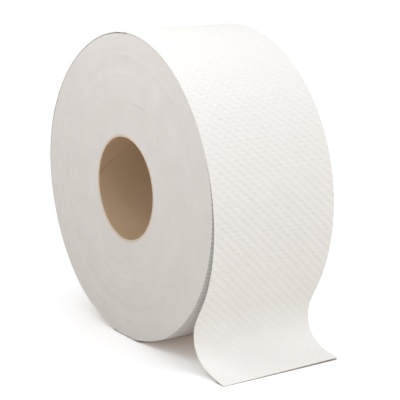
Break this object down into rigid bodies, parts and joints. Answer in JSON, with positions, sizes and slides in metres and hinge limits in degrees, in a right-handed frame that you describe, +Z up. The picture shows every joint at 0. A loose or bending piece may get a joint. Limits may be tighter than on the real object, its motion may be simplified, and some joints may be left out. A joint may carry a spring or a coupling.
{
  "type": "wide toilet paper roll",
  "caption": "Wide roll of dot-embossed white tissue on a cardboard core, standing on its tread with the loose end hanging to the floor.",
  "frame": {"origin": "centre of the core's bore, halfway across the roll", "axes": "+Y along the bore, +Z up, +X towards the hanging loose end"},
  "size_m": [0.2423, 0.102, 0.2277],
  "materials": {
    "kraft_card": "matt, smooth wound board",
    "tissue": "matt, soft, embossed with small dots"
  },
  "bodies": {
    "root": {"cardboard_core": "kraft_card", "paper_roll": "tissue"}
  },
  "joints": []
}
